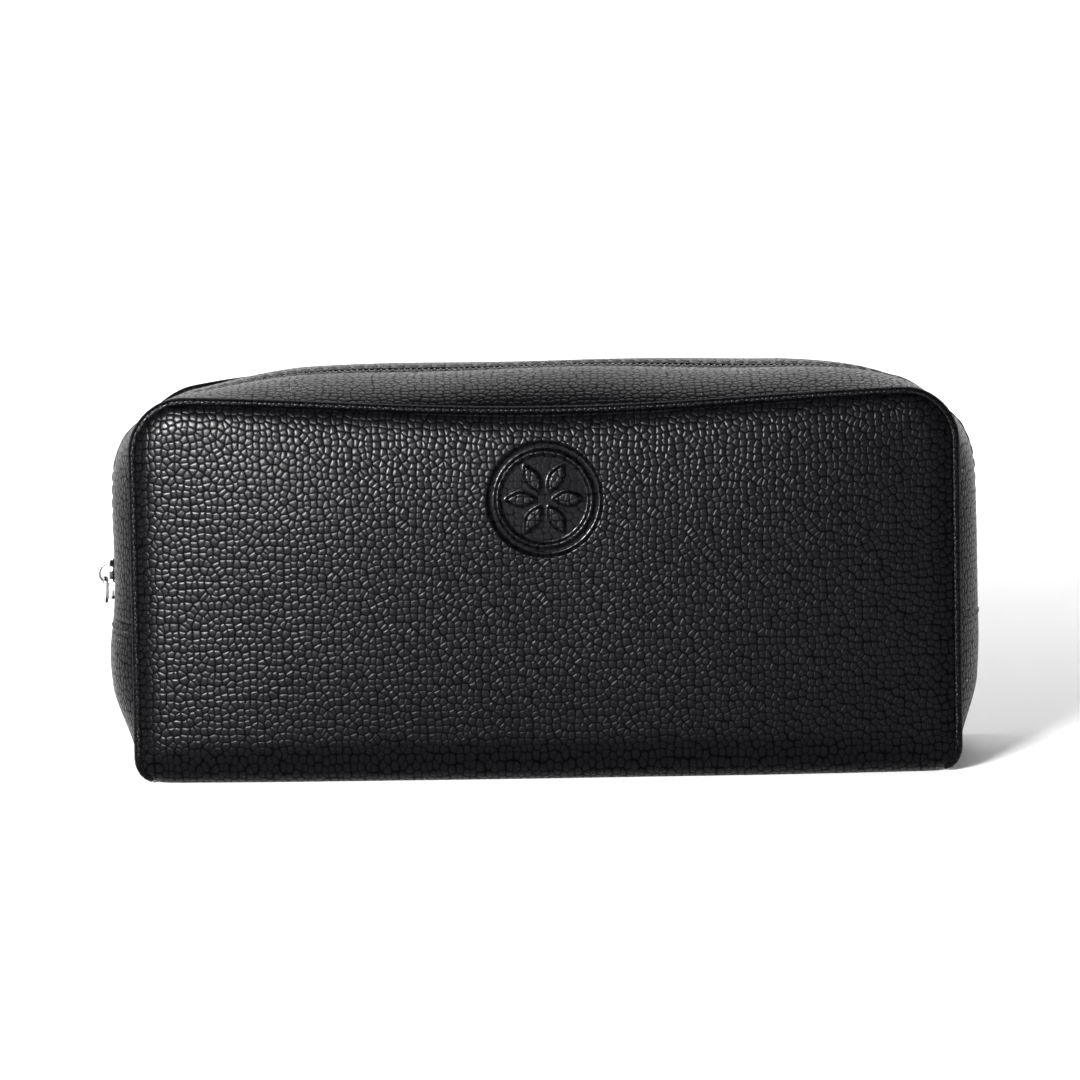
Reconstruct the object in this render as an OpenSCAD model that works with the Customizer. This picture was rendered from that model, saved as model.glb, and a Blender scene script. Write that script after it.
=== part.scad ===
/* [Bag] */
// Width between the side seams
bag_width = 204; // [170:2:240]
// Depth between the front and back seams
bag_depth = 68; // [58:1:84]
// Height of the top seam
bag_height = 96; // [88:1:120]
// How far the front and back walls bow out between their seams
wall_bow = 6; // [3:0.5:8]
// How far the gusset arches out past the seams
gusset_bow = 6; // [4:0.5:8]
// Radius of the two top corners of the seams
corner_radius = 13; // [10:0.5:18]
// Radius of the fold where the walls roll under the base
fold_radius = 7; // [5:0.5:9]

/* [Materials] */
// Thickness of the leather
leather = 1.4; // [1:0.1:1.8]
// Thickness of the foam behind the front and back leather
padding = 2; // [1:0.5:3]
// Thickness of the cloth lining
lining = 0.6; // [0.4:0.1:0.8]
// Thickness of the board in the base
board = 1.5; // [1:0.25:2]
// Radius of the piping in the front and back seams
welt_radius = 1.2; // [0.9:0.1:1.5]

/* [Zip] */
// Height at which the zip ends on both sides
zip_end = 40; // [34:1:46]
// Width of one row of the coil
coil_width = 2; // [1.6:0.1:2.4]
// Space between the two rows, where the slider's divider runs
coil_gap = 1.2; // [1:0.1:1.6]
// How far the coil stands above the leather
coil_rise = 0.5; // [0.2:0.1:0.8]
// Width of one zip tape
tape_width = 13; // [10:0.5:15]
// Distance from the zip's middle to the folded leather edge
leather_gap = 4.2; // [3.8:0.1:5]

/* [Slider] */
// Length of the slider body
slider_length = 10; // [8:0.5:12]
// Width of the slider's mouth
slider_width = 8; // [7:0.25:8.4]
// Thickness of the slider's outer plate
plate = 1.2; // [1:0.1:1.4]
// Outer radius of the bridge that holds the pull ring
bridge_radius = 3.25; // [3:0.05:3.6]
// Radius of the pull ring's wire
wire_radius = 0.6; // [0.5:0.05:0.65]

/* [Pocket] */
// Width of the slip pocket on the back lining
pocket_width = 120; // [80:5:130]
// Height of the slip pocket's top edge
pocket_height = 62; // [50:1:70]

/* [Hidden] */
$fn = 96;
// Facets of the large arcs that bow the walls and the gusset
arc_facets = 400;

// Gap between neighbouring layers, and between pieces that only lie against each other
layer_gap = 0.1;
// Gap between the pieces on either side of the front wall's fold
fold_gap = 0.15;

half_width = bag_width / 2;
half_depth = bag_depth / 2;

// Wall layers, as depths below the outside of the leather
padding_out = leather + layer_gap;
padding_in = padding_out + padding;
lining_out = padding_in + layer_gap;
lining_in = lining_out + lining;

// Gusset layers, as depths below the outside of the leather
tape_out = leather + layer_gap;
tape_in = tape_out + lining;
gusset_lining_out = tape_in + layer_gap;
gusset_lining_in = gusset_lining_out + lining;

// Edges of the pieces beside the welts
welt_side = welt_radius + layer_gap;
gusset_edge = half_depth - leather - layer_gap;
lining_edge = half_depth - lining_in - layer_gap;
// How far the inner wall layers stay inside the seam line
inner_margin = 4;

// Arc through the two seams and the crest of the gusset
arch_radius = (pow(gusset_bow, 2) + pow(half_depth, 2)) / (2 * gusset_bow);

// Arc that bows the front and back walls, seen from the side, from a little above the fold
bow_low = fold_radius + 2;
side_chord = (bag_height - bow_low) / 2;
side_radius = (pow(wall_bow, 2) + pow(side_chord, 2)) / (2 * wall_bow);
// Seen from above, the walls slope back to the side seams over this length, from a little
// beyond their bow
run_off = 26;
plan_bow = wall_bow + 1;

// Arc that tucks the crest of the closed gusset in towards the base. At the floor the crest
// stays this far outside the seams.
crest_at_floor = 0.6;
tuck = gusset_bow - crest_at_floor;
tuck_radius = (pow(tuck, 2) + pow(zip_end, 2)) / (2 * tuck);

// Along the side, the zip's pieces from its end upwards
stop_length = 2.2;
stop_low = zip_end + 0.4;
coil_low = stop_low + stop_length + layer_gap;
slider_low = coil_low + 0.3;
slider_middle = slider_low + slider_length / 2;

// Slider, as distances out from the crest of the leather
slider_clearance = 0.3;
outer_plate_low = coil_rise + slider_clearance;
outer_plate_top = outer_plate_low + plate;
inner_plate = 1;
inner_plate_top = -tape_in - slider_clearance;
inner_plate_low = inner_plate_top - inner_plate;
// Width of a plate's rounded upper end, as a share of its mouth
nose_share = 0.7;
divider_width = 0.6;
divider_length = 3;
bridge_width = 2.4;
bridge_wall = 1;
// The bridge stands this far above the slider's middle
bridge_shift = 1.2;
bridge_middle = slider_middle + bridge_shift;

// Pull ring, hanging in the lower part of the bridge: its middle lies this far out from the
// outer plate and as far below the bridge's middle
ring_offset = 1.05;
ring_length = 5.8;
ring_half_width = 2.4;
ring_corner = 1.2;

// Slip pocket: its flat front, its bottom edge, its sewn sides and the tape on its top edge
pocket_room = 4.5;
pocket_y = half_depth - pocket_room;
pocket_low = 14;
pocket_seam = 1;
binding = 1;

leather_black = [0.07, 0.07, 0.075];
cloth_black = [0.12, 0.12, 0.13];
nylon_black = [0.05, 0.05, 0.055];
foam_grey = [0.45, 0.45, 0.46];
board_grey = [0.55, 0.52, 0.47];
silver = [0.83, 0.83, 0.85];

// ---------- Shared shapes ----------

// Sweeps a section along the opening: up the left side from low, over the top and down the
// right side. In the section, x is out from the seam line and y is the bag's depth.
module round_the_opening(low) {
    for (side = [0, 1])
        mirror([side, 0, 0]) {
            translate([half_width, 0, low])
                linear_extrude(bag_height - corner_radius - low)
                    children();
            translate([half_width - corner_radius, 0, bag_height - corner_radius])
                rotate([90, 0, 0])
                    rotate_extrude(angle = 90)
                        mirror([0, 1])
                            translate([corner_radius, 0])
                                children();
        }
    translate([half_width - corner_radius, 0, bag_height])
        rotate([0, -90, 0])
            linear_extrude(bag_width - 2 * corner_radius)
                children();
}

// One layer of the arched gusset's section between two depths below its outside
module arch_layer(outer, inner, low_y, high_y) {
    intersection() {
        translate([gusset_bow - arch_radius, 0])
            difference() {
                circle(r = arch_radius - outer, $fn = arc_facets);
                circle(r = arch_radius - inner, $fn = arc_facets);
            }
        translate([-inner - 1, low_y])
            square([inner + gusset_bow + 2, high_y - low_y]);
    }
}

// The bag's outline from the side, with the front, base and back moved in
module side_view(inset, top) {
    bow_side = side_radius - half_depth - wall_bow;
    bow_middle = bow_low + side_chord;
    intersection() {
        translate([bow_side, bow_middle])
            circle(r = side_radius - inset, $fn = arc_facets);
        translate([-bow_side, bow_middle])
            circle(r = side_radius - inset, $fn = arc_facets);
        union() {
            translate([-bag_depth, fold_radius])
                square([2 * bag_depth, top - fold_radius]);
            for (side = [-1, 1])
                translate([side * (half_depth - fold_radius), fold_radius])
                    circle(r = fold_radius - inset);
            translate([fold_radius - half_depth, inset])
                square([bag_depth - 2 * fold_radius, 2 * fold_radius - inset]);
        }
    }
}

// The bag's outline from above, with the front and back moved in. Near the side seams the walls
// slope back to them.
module plan_view(inset, reach) {
    slope = plan_bow / run_off;
    line_inset = inset * sqrt(1 + slope * slope);
    end_y = half_depth - line_inset + (half_width - reach) * slope;
    flat_y = half_depth + plan_bow;
    flat_x = half_width - run_off - line_inset / slope;
    polygon([
        [-reach, -end_y], [-flat_x, -flat_y], [flat_x, -flat_y], [reach, -end_y],
        [reach, end_y], [flat_x, flat_y], [-flat_x, flat_y], [-reach, end_y]
    ]);
}

// The space inside the front, base and back surfaces when these are moved in
module wall_block(inset, reach, top) {
    intersection() {
        rotate([90, 0, 90])
            translate([0, 0, -reach])
                linear_extrude(2 * reach)
                    side_view(inset, top);
        linear_extrude(top)
            plan_view(inset, reach);
    }
}

// One layer of the front, base and back, between two depths below the outside.
// margin is how far its edges stay inside the side and top seams.
module wall_layer(outer, inner, margin, low) {
    intersection() {
        difference() {
            wall_block(outer, half_width + 1, bag_height + 1);
            wall_block(inner, half_width + 2, bag_height + 2);
        }
        front_view(margin, low);
    }
}

// Everything inside the seams' outline as seen from the front, from low up
module front_view(margin, low) {
    side = half_width - margin;
    top = bag_height - margin;
    round_top = corner_radius - margin;
    translate([0, bag_depth, 0])
        rotate([90, 0, 0])
            linear_extrude(2 * bag_depth) {
                translate([-side, low])
                    square([2 * side, top - round_top - low]);
                translate([round_top - side, top - 2 * round_top])
                    square([2 * (side - round_top), 2 * round_top]);
                for (end = [-1, 1])
                    translate([end * (side - round_top), top - round_top])
                        circle(r = round_top);
            }
}

// A wall layer's stretch above the fold, on the front
module front_wall(outer, inner, margin) {
    difference() {
        wall_layer(outer, inner, margin, zip_end + fold_gap);
        translate([-bag_width, 0, 0])
            cube([2 * bag_width, bag_depth + 1, 2 * bag_height]);
    }
}

// A wall layer's stretch that does not move: the lower front, the base and the back
module fixed_wall(outer, inner, margin) {
    difference() {
        wall_layer(outer, inner, margin, -1);
        translate([-bag_width, -bag_depth - 1, zip_end])
            cube([2 * bag_width, bag_depth + 1, bag_height]);
    }
}

// A strip of the gusset beside the zip, on the front (-1) or on the back (1)
module gusset_strip(side, outer, inner, near_y, far_y, low) {
    round_the_opening(low)
        arch_layer(outer, inner, min(side * near_y, side * far_y), max(side * near_y, side * far_y));
}

// The space inside the closed gusset below the zip's end when its surface is moved in.
// Its lower end tucks in towards the base.
module lower_gusset_block(inset, edge, low) {
    back_wall = 2 * leather;
    intersection() {
        translate([0, 0, low])
            linear_extrude(zip_end - low)
                intersection() {
                    translate([gusset_bow - arch_radius, 0])
                        circle(r = arch_radius - inset, $fn = arc_facets);
                    translate([-back_wall, -edge])
                        square([back_wall + 2 * gusset_bow, 2 * edge]);
                }
        translate([gusset_bow - tuck_radius, bag_depth, zip_end])
            rotate([90, 0, 0])
                cylinder(r = tuck_radius - inset, h = 2 * bag_depth, $fn = arc_facets);
    }
}

// One layer of the closed gusset, on the left (-1) or on the right (1)
module lower_gusset(side, outer, inner, edge, low) {
    mirror([side < 0 ? 1 : 0, 0, 0])
        translate([half_width, 0, 0])
            difference() {
                lower_gusset_block(outer, edge, low);
                lower_gusset_block(inner, edge + 1, low - 1);
            }
}

// Puts a piece on the crest of the left side: x out from the leather, z up
module on_left_crest(height) {
    mirror([1, 0, 0])
        translate([half_width + gusset_bow, 0, height])
            children();
}

// ---------- Leather ----------

// Lower front, base and back: one piece that rolls under the bag
module main_panel() {
    color(leather_black)
        fixed_wall(0, leather, welt_side);
}

// The front wall above the line where it folds forward
module front_panel() {
    color(leather_black)
        front_wall(0, leather, welt_side);
}

module front_gusset() {
    color(leather_black)
        gusset_strip(-1, 0, leather, leather_gap, gusset_edge, zip_end + fold_gap);
}

module back_gusset() {
    color(leather_black)
        gusset_strip(1, 0, leather, leather_gap, gusset_edge, zip_end + fold_gap);
}

module left_side_gusset() {
    color(leather_black)
        lower_gusset(-1, 0, leather, gusset_edge, leather);
}

module right_side_gusset() {
    color(leather_black)
        lower_gusset(1, 0, leather, gusset_edge, leather);
}

// ---------- Welts ----------

// Piping along a seam, in the front (-1) or in the back (1)
module welt(side, low) {
    round_the_opening(low)
        translate([0, side * half_depth])
            circle(r = welt_radius, $fn = 24);
}

module front_welt() {
    color(leather_black)
        welt(-1, zip_end + fold_gap);
}

// The front welt's two ends below the fold
module front_welt_feet() {
    color(leather_black)
        for (side = [-1, 1])
            translate([side * half_width, -half_depth, fold_radius])
                cylinder(r = welt_radius, h = zip_end - fold_radius, $fn = 24);
}

module back_welt() {
    color(leather_black)
        welt(1, fold_radius);
}

// ---------- Zip ----------

module zip_tape(side, low) {
    gusset_strip(side, tape_out, tape_in, coil_gap / 2, coil_gap / 2 + tape_width, low);
}

module front_zip_tape() {
    color(cloth_black)
        zip_tape(-1, zip_end + fold_gap);
}

module back_zip_tape() {
    color(cloth_black)
        zip_tape(1, zip_end + fold_gap);
}

// A row of the coil, standing on its tape
module zip_coil(side) {
    middle = side * (coil_gap + coil_width) / 2;
    round_the_opening(coil_low)
        translate([gusset_bow - leather, middle - coil_width / 2])
            square([leather + coil_rise, coil_width]);
}

module front_zip_coil() {
    color(nylon_black)
        zip_coil(-1);
}

module back_zip_coil() {
    color(nylon_black)
        zip_coil(1);
}

// Metal clamps that end a row of the coil, one at each side of the bag
module zip_stops(side) {
    middle = side * (coil_gap + coil_width) / 2;
    for (end = [-1, 1])
        translate([end * half_width + (end > 0 ? gusset_bow - leather : -gusset_bow - coil_rise),
                   middle - coil_width / 2, stop_low])
            cube([leather + coil_rise, coil_width, stop_length]);
}

module front_zip_stops() {
    color(silver)
        zip_stops(-1);
}

module back_zip_stops() {
    color(silver)
        zip_stops(1);
}

// ---------- Inside ----------

// Board between the base leather and the lining
module base_board() {
    board_half = half_depth - fold_radius - 1;
    color(board_grey)
        translate([inner_margin - half_width, -board_half, padding_out])
            cube([bag_width - 2 * inner_margin, 2 * board_half, board]);
}

module front_padding() {
    color(foam_grey)
        front_wall(padding_out, padding_in, inner_margin);
}

// The padding stops above the rounded fold on both walls
module lower_front_padding() {
    color(foam_grey)
        intersection() {
            fixed_wall(padding_out, padding_in, inner_margin);
            translate([-bag_width, -bag_depth, bow_low])
                cube([2 * bag_width, bag_depth, bag_height]);
        }
}

module back_padding() {
    color(foam_grey)
        intersection() {
            fixed_wall(padding_out, padding_in, inner_margin);
            translate([-bag_width, 0, bow_low])
                cube([2 * bag_width, bag_depth, bag_height]);
        }
}

module main_lining() {
    color(cloth_black)
        fixed_wall(lining_out, lining_in, inner_margin);
}

module front_lining() {
    color(cloth_black)
        front_wall(lining_out, lining_in, inner_margin);
}

// Lining of a gusset strip. It stops a little short of the leather's folded edge.
module strip_lining(side) {
    near_y = leather_gap + 1;
    low = zip_end + fold_gap;
    gusset_strip(side, gusset_lining_out, gusset_lining_in, near_y, lining_edge, low);
}

module front_gusset_lining() {
    color(cloth_black)
        strip_lining(-1);
}

module back_gusset_lining() {
    color(cloth_black)
        strip_lining(1);
}

module left_side_lining() {
    color(cloth_black)
        lower_gusset(-1, gusset_lining_out, gusset_lining_in, lining_edge, fold_radius);
}

module right_side_lining() {
    color(cloth_black)
        lower_gusset(1, gusset_lining_out, gusset_lining_in, lining_edge, fold_radius);
}

// Pocket sewn to the back lining along its sides and bottom, open at its top
module slip_pocket() {
    color(cloth_black)
        difference() {
            intersection() {
                translate([-pocket_width / 2, pocket_y, pocket_low])
                    cube([pocket_width, bag_depth, pocket_height - pocket_low]);
                wall_block(lining_in + layer_gap, half_width, bag_height);
            }
            translate([pocket_seam - pocket_width / 2, pocket_y + lining, pocket_low + pocket_seam])
                cube([pocket_width - 2 * pocket_seam, bag_depth, bag_height]);
        }
}

// Folded tape along the pocket's top edge
module pocket_binding() {
    color(nylon_black)
        translate([-pocket_width / 2, pocket_y - binding / 2, pocket_height + layer_gap])
            cube([pocket_width, lining + binding, 2 * binding]);
}

// ---------- Slider ----------

// Outline of a plate, its mouth at the lower end: x is down, y is across
module plate_outline(mouth, nose) {
    round_end = nose / 2;
    polygon([
        [slider_length / 2, -mouth / 2],
        [slider_length / 2, mouth / 2],
        [0, mouth / 2],
        [round_end - slider_length / 2, nose / 2],
        [round_end - slider_length / 2, -nose / 2],
        [0, -mouth / 2]
    ]);
    translate([round_end - slider_length / 2, 0])
        circle(r = round_end, $fn = 32);
}

module slider_plate(low, top, width) {
    translate([low, 0, 0])
        rotate([0, 90, 0])
            linear_extrude(top - low)
                plate_outline(width, nose_share * width);
}

// Outer plate over the coil, inner plate under the tape and the divider that parts the rows
module slider_body() {
    color(silver)
        on_left_crest(slider_middle) {
            slider_plate(outer_plate_low, outer_plate_top, slider_width);
            slider_plate(inner_plate_low, inner_plate_top, slider_width - 1);
            translate([inner_plate_top - 0.5, -divider_width / 2, -slider_length / 2])
                cube([outer_plate_low - inner_plate_top + 1, divider_width, divider_length]);
        }
}

// Half ring on the outer plate
module slider_bridge() {
    color(silver)
        on_left_crest(bridge_middle)
            intersection() {
                translate([outer_plate_top, bridge_width / 2, 0])
                    rotate([90, 0, 0])
                        difference() {
                            cylinder(r = bridge_radius, h = bridge_width);
                            translate([0, 0, -1])
                                cylinder(r = bridge_radius - bridge_wall, h = bridge_width + 2);
                        }
                translate([outer_plate_top, -bridge_width, -2 * bridge_radius])
                    cube([2 * bridge_radius, 2 * bridge_width, 4 * bridge_radius]);
            }
}

// Oblong wire ring that hangs in the bridge
module pull_ring() {
    straight_side = ring_length - 2 * ring_corner;
    straight_end = 2 * (ring_half_width - ring_corner);
    color(silver)
        on_left_crest(bridge_middle - ring_offset)
            translate([outer_plate_top + ring_offset, 0, 0])
                for (side = [0, 1], end = [0, 1])
                    mirror([0, side, 0])
                        translate([0, 0, -ring_length / 2])
                            mirror([0, 0, end]) {
                                translate([0, ring_half_width, 0])
                                    cylinder(r = wire_radius, h = straight_side / 2, $fn = 24);
                                translate([0, 0, ring_length / 2])
                                    rotate([-90, 0, 0])
                                        cylinder(r = wire_radius, h = straight_end / 2, $fn = 24);
                                translate([0, ring_half_width - ring_corner, straight_side / 2])
                                    rotate([90, 0, 90])
                                        rotate_extrude(angle = 90)
                                            translate([ring_corner, 0])
                                                circle(r = wire_radius, $fn = 24);
                            }
}

main_panel();
front_panel();
front_gusset();
back_gusset();
left_side_gusset();
right_side_gusset();
front_welt();
front_welt_feet();
back_welt();
front_zip_tape();
back_zip_tape();
front_zip_coil();
back_zip_coil();
front_zip_stops();
back_zip_stops();
base_board();
front_padding();
lower_front_padding();
back_padding();
main_lining();
front_lining();
front_gusset_lining();
back_gusset_lining();
left_side_lining();
right_side_lining();
slip_pocket();
pocket_binding();
slider_body();
slider_bridge();
pull_ring();
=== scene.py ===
import math

import bmesh
import bpy
import numpy as np
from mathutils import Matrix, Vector


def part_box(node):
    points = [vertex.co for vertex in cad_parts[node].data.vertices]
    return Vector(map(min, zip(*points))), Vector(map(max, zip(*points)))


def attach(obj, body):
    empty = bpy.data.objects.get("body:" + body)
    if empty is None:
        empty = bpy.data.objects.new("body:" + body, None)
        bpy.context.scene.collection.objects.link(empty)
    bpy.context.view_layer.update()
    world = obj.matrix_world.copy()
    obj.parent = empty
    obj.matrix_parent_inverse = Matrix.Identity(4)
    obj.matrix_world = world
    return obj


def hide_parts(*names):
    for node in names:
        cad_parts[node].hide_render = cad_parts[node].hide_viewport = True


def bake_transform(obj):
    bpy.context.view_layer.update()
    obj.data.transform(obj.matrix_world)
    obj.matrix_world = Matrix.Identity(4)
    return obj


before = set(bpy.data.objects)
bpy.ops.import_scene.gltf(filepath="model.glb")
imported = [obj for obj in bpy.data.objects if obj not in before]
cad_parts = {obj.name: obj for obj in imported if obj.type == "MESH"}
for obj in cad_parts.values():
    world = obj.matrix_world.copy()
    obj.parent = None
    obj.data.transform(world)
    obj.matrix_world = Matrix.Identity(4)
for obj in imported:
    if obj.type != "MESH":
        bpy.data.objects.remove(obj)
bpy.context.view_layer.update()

MM = 0.001

# ---------- Sizes, from the frame ----------

WELT_LOW, WELT_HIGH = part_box("front_welt")
WELT = (WELT_HIGH[1] - WELT_LOW[1]) / 2
HALF_WIDTH = WELT_HIGH[0] - WELT
HALF_DEPTH = -(WELT_LOW[1] + WELT)
TOP = WELT_HIGH[2] - WELT
ZIP_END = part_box("left_side_gusset")[1][2]
ZIP_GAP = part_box("back_gusset")[0][1]
# Neighbouring layers stay this far apart
LAYER_GAP = 0.1 * MM
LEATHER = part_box("base_board")[0][2] - LAYER_GAP
WALL_BOW = -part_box("main_panel")[0][1] - HALF_DEPTH
FOAM = 2 * MM
CLOTH = 0.6 * MM
SLIDER_LOW, SLIDER_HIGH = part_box("slider_body")
BRIDGE_LOW, BRIDGE_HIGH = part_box("slider_bridge")
RING_LOW, RING_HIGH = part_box("pull_ring")
# The leather and the lining end this far inside the middle of the piping
LEATHER_INSET = 0.7 * MM
LINING_INSET = 3.4 * MM

# The seams' corners, at the top and where the walls roll under the base
CORNER = 13 * MM
FOLD = 7 * MM
# The top seams sag between the corners
SAG = 3.6 * MM
# The back's top corners hang below the front's, from this far out
CORNER_DROOP = 7 * MM
DROOP_START = 60 * MM
# The front and back leather rolls over at its edges, then bows gently, a little fuller than
# the plain wall
EDGE_ROLL = 7 * MM
EDGE_RISE = 2.4 * MM
FULLER = 1.5 * MM
BOW = WALL_BOW + FULLER - EDGE_RISE
# The gusset's crest, above the top seams and beside the side seams. The closed gusset below
# the zip's end is fullest, more so on the left.
TOP_CREST = 4.4 * MM
SIDE_CREST = 6.2 * MM
FULL_HEIGHT = 29 * MM
FULL_SPREAD = 13 * MM
FULLNESS_LEFT = 2.2 * MM
FULLNESS_RIGHT = 0.6 * MM
# The crest pulls in over the top corners by this share, down to nothing over these lengths
# of the seam: down the sides, and along the top on the left and on the right
CORNER_PULL = 0.9
PULL_SIDE = 11 * MM
PULL_TOP_LEFT = 27 * MM
PULL_TOP_RIGHT = 14 * MM
# The zip lies in a valley along the crest: this deep on top, and on the sides no further out
# than the slider's seat
VALLEY = 0.8 * MM
VALLEY_WIDTH = 8 * MM
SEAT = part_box("back_gusset")[1][0] - HALF_WIDTH

# The pressed mark on the front
MARK_Z = 71 * MM
MARK_RADIUS = 14.6 * MM
MARK_DEPTH = 0.9 * MM
MARK_STEP = 0.36 * MM

# Lengths along the seam, from the middle of the top: the straight, the corner and the side
SEAM_STRAIGHT = HALF_WIDTH - CORNER
SEAM_CORNER = CORNER * math.pi / 2
SEAM_SIDE = TOP - CORNER - FOLD
SEAM_FOOT = FOLD * math.pi / 2
SEAM_HALF = SEAM_STRAIGHT + SEAM_CORNER + SEAM_SIDE + SEAM_FOOT

# Lengths along the skin, from the middle of the base: half the base, the fold and the wall
SKIN_BASE = HALF_DEPTH - FOLD
SKIN_FOLD = FOLD * math.pi / 2
SKIN_WALL = TOP - FOLD
SKIN_HALF = SKIN_BASE + SKIN_FOLD + SKIN_WALL


def smooth(low, high, value):
    """0 below low, 1 above high, and an even curve between them."""
    t = min(max((value - low) / (high - low), 0.0), 1.0)
    return t * t * (3 - 2 * t)


def steps(low, high, step):
    """Evenly spaced values from low to high, about step apart."""
    return list(np.linspace(low, high, max(2, int(round(abs(high - low) / step)) + 1)))


def joined(*runs):
    """Runs of values put end to end, each shared end kept once."""
    values = list(runs[0])
    for run in runs[1:]:
        values += list(run)[1:]
    return values


# ---------- The bag's form ----------


def seam(q):
    """Point (x, z), outward direction (x, z) and half depth of the seam,
    q along it from the middle of the top."""
    side = -1 if q < 0 else 1
    d = abs(q)
    if d <= SEAM_STRAIGHT:
        return side * d, TOP, 0.0, 1.0, HALF_DEPTH
    d -= SEAM_STRAIGHT
    if d <= SEAM_CORNER:
        turn = d / CORNER
        x = SEAM_STRAIGHT + CORNER * math.sin(turn)
        z = TOP - CORNER + CORNER * math.cos(turn)
        return side * x, z, side * math.sin(turn), math.cos(turn), HALF_DEPTH
    d -= SEAM_CORNER
    if d <= SEAM_SIDE:
        return side * HALF_WIDTH, TOP - CORNER - d, side, 0.0, HALF_DEPTH
    turn = min((d - SEAM_SIDE) / FOLD, math.pi / 2)
    x = HALF_WIDTH - FOLD + FOLD * math.cos(turn)
    z = FOLD - FOLD * math.sin(turn)
    depth = HALF_DEPTH - FOLD + FOLD * math.cos(turn)
    return side * x, z, side * math.cos(turn), -math.sin(turn), depth


def seam_at_height(z):
    """How far along the seam its straight side is at a height."""
    return SEAM_STRAIGHT + SEAM_CORNER + TOP - CORNER - z


def sag(x, z):
    """How far the top seams hang below a straight line."""
    across = math.cos(math.pi * min(abs(x) / HALF_WIDTH, 1) / 2) ** 2
    return SAG * across * smooth(0.45 * TOP, TOP, z)


def droop(x, y, z):
    """How far the top corners hang at a depth: not at all in front and most at the back."""
    outward = min(max((abs(x) - DROOP_START) / (HALF_WIDTH - DROOP_START), 0.0), 1.1)
    to_back = smooth(-HALF_DEPTH, HALF_DEPTH, y)
    return CORNER_DROOP * outward ** 1.5 * to_back * smooth(0.8 * TOP, TOP, z)


def ripple(a, b):
    """Small soft unevenness of leather, for two lengths along a surface."""
    height = 0.16 * MM
    broad = math.sin(a / (19 * MM) + 1.3) * math.cos(b / (23 * MM))
    slanting = math.sin(a / (11 * MM) - b / (14 * MM))
    return height * (broad + 0.6 * slanting)


def crest(q):
    """How far the gusset's crest stands out from the seam line."""
    _, z, out_x, _, _ = seam(q)
    corner_middle = SEAM_STRAIGHT + SEAM_CORNER / 2
    off_corner = abs(q) - corner_middle
    if off_corner > 0:
        width = PULL_SIDE
    elif q < 0:
        width = PULL_TOP_LEFT
    else:
        width = PULL_TOP_RIGHT
    pull = CORNER_PULL * math.exp(-((off_corner / width) ** 2))
    sideways = out_x * out_x
    fullness = FULLNESS_LEFT if q < 0 else FULLNESS_RIGHT
    belly = fullness * math.exp(-(((z - FULL_HEIGHT) / FULL_SPREAD) ** 2))
    full = TOP_CREST * (1 - sideways) + (SIDE_CREST + belly) * sideways
    flattened_foot = smooth(-1 * MM, 22 * MM, z)
    return full * (1 - pull) * flattened_foot


def gusset_point(q, y, depth):
    """Point of the gusset: q along the seam, y from front to back, depth below the outside."""
    x, z, out_x, out_z, half_depth = seam(q)
    across = min(abs(y) / half_depth, 1.0)
    arch = 1 - across ** 3.2
    above_end = smooth(ZIP_END - 9 * MM, ZIP_END + 2.5 * MM, z)
    valley = max(VALLEY * (1 - out_x * out_x), crest(q) - SEAT)
    recess = valley * above_end * math.exp(-((y / VALLEY_WIDTH) ** 2))
    soft = ripple(q, y) * 2.2 * arch * smooth(0, 25 * MM, z)
    out = crest(q) * arch - recess + soft - depth
    drop = sag(x, z) * (1 - arch) if out_z > 0 else 0.0
    height = z + out * out_z - drop - droop(x, y, z)
    return (x + out * out_x, y, max(height, 0.0))


def skin_profile(p):
    """Point (y, z) and outward direction (y, z) of the skin seen from the side,
    p along it from the middle of the base."""
    side = -1 if p < 0 else 1
    d = abs(p)
    if d <= SKIN_BASE:
        return side * d, 0.0, 0.0, -1.0
    d -= SKIN_BASE
    if d <= SKIN_FOLD:
        turn = d / FOLD
        y = SKIN_BASE + FOLD * math.sin(turn)
        return side * y, FOLD - FOLD * math.cos(turn), side * math.sin(turn), -math.cos(turn)
    return side * HALF_DEPTH, FOLD + d - SKIN_FOLD, side, 0.0


def skin_half_width(z):
    """Half the skin's width at a height, narrower in the rounded corners."""
    if z < FOLD:
        return HALF_WIDTH - FOLD + math.sqrt(FOLD ** 2 - (FOLD - z) ** 2)
    if z > TOP - CORNER:
        return HALF_WIDTH - CORNER + math.sqrt(max(CORNER ** 2 - (z - TOP + CORNER) ** 2, 0))
    return HALF_WIDTH


def edge_distance(x, z):
    """Distance inside the seams' outline, seen from the front."""
    x = abs(x)
    if x > HALF_WIDTH - CORNER and z > TOP - CORNER:
        return CORNER - math.hypot(x - HALF_WIDTH + CORNER, z - TOP + CORNER)
    return min(skin_half_width(z) - x, TOP - z)


def wall_rise(x, z, p):
    """How far the skin stands out from the plane of its seams."""
    near = min(max(edge_distance(x, z) / EDGE_ROLL, 0.0), 1.0)
    roll = math.sqrt(1 - (1 - near) ** 2)
    across = math.cos(math.pi / 2 * min(abs(x) / HALF_WIDTH, 1) ** 1.6) ** 0.8
    upright = math.cos(math.pi / 2 * (abs(z - 0.45 * TOP) / (0.66 * TOP)) ** 1.7)
    on_wall = smooth(SKIN_BASE - 2 * MM, SKIN_BASE + SKIN_FOLD + 4 * MM, abs(p))
    soft = ripple(x, p) * roll
    return (EDGE_RISE * roll + BOW * across * upright + soft) * on_wall


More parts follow.
